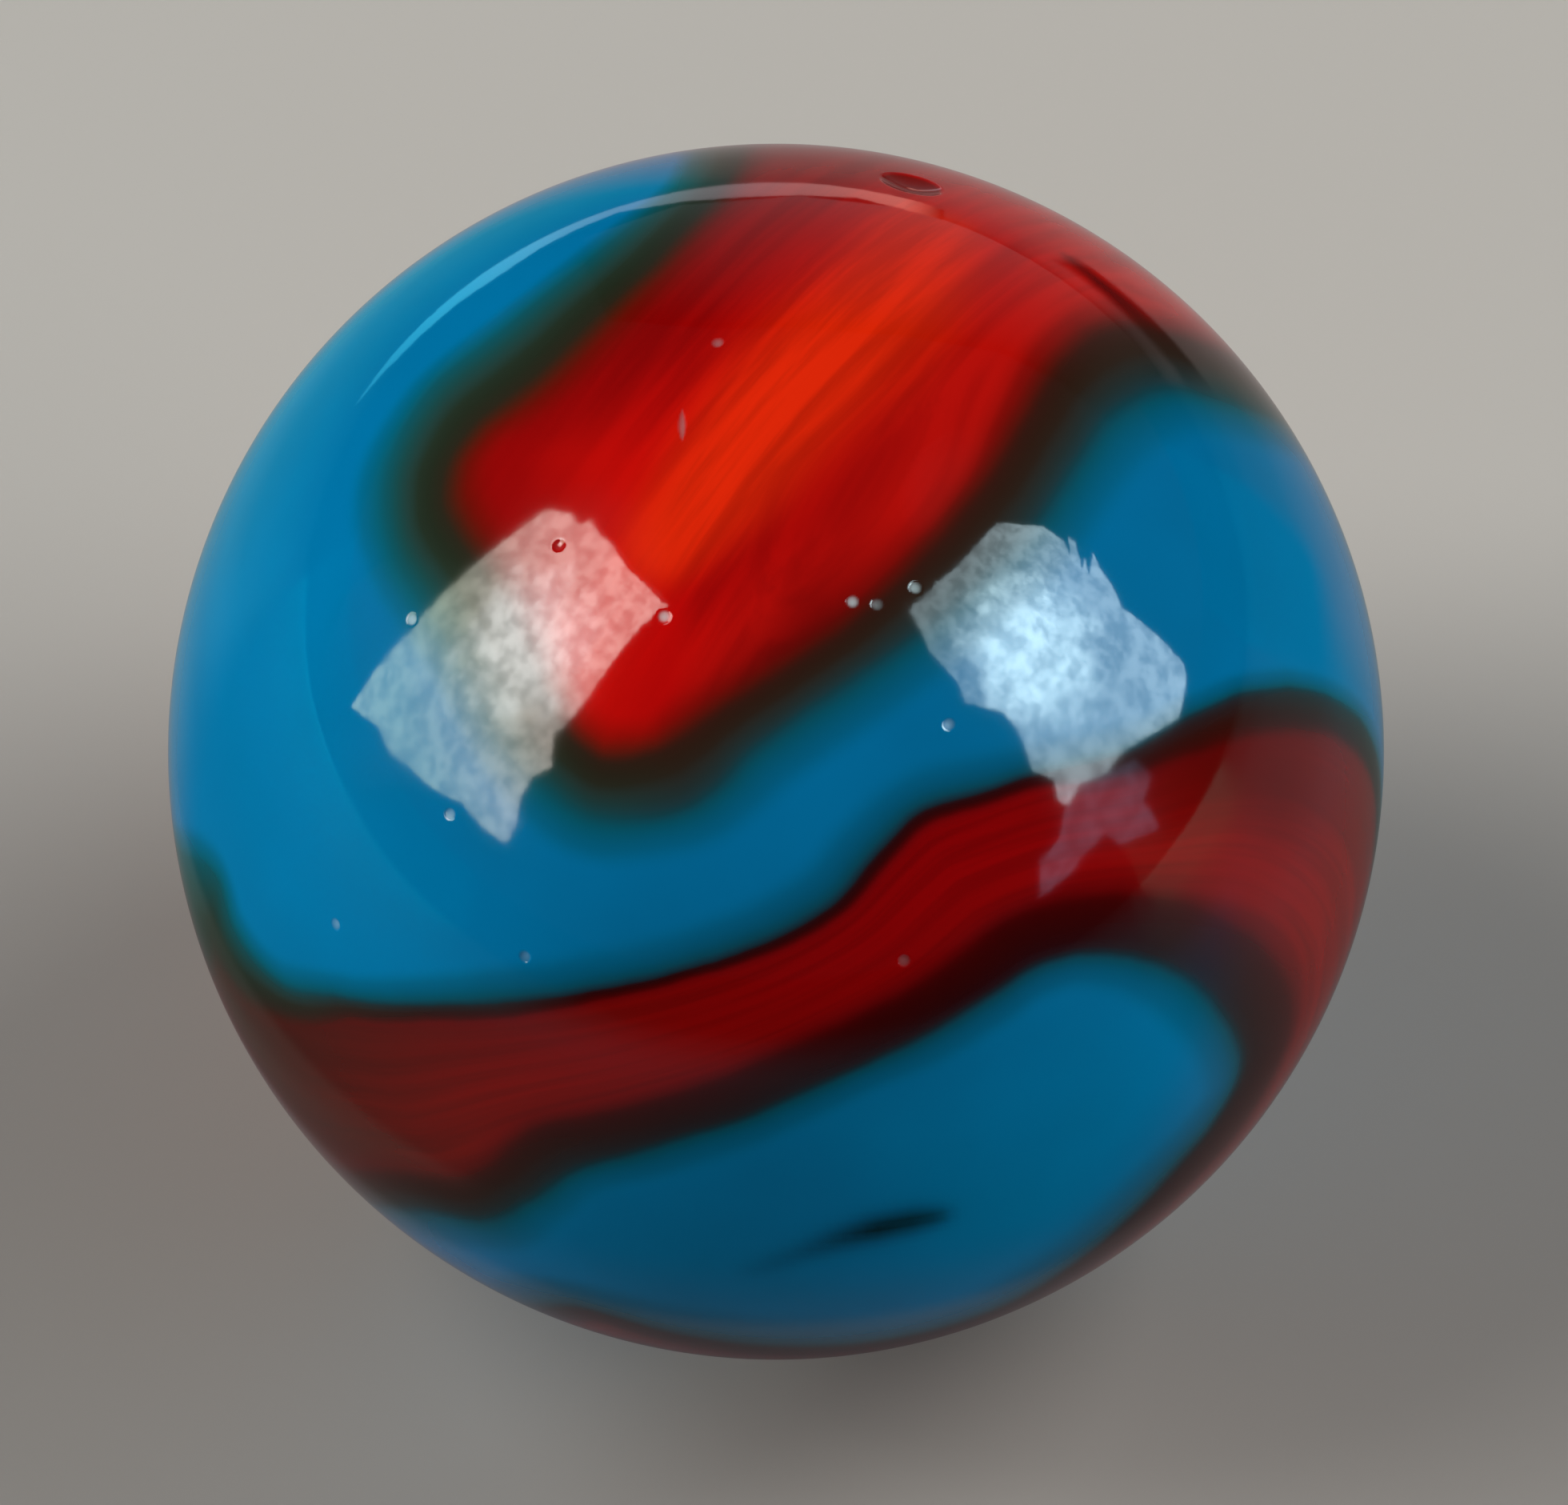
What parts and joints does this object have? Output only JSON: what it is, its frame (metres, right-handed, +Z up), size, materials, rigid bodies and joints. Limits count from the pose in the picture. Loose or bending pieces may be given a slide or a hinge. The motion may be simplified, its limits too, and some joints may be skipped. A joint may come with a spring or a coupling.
{
  "type": "glass marble",
  "caption": "Round glass playing marble in opaque turquoise blue with a broad red ribbon edged in dark brown swirling over it, polished and lightly worn by play.",
  "frame": {"origin": "centre of the ball", "axes": "+Z up, away from the point the ball rests on; +X to the right and +Y away from a viewer who sees the red ribbon's rounded end"},
  "size_m": [0.016, 0.016, 0.016],
  "materials": {
    "swirl_glass": "polished opaque blue glass with a red and dark brown ribbon fused into it"
  },
  "bodies": {
    "root": {"marble": "swirl_glass"}
  },
  "joints": []
}
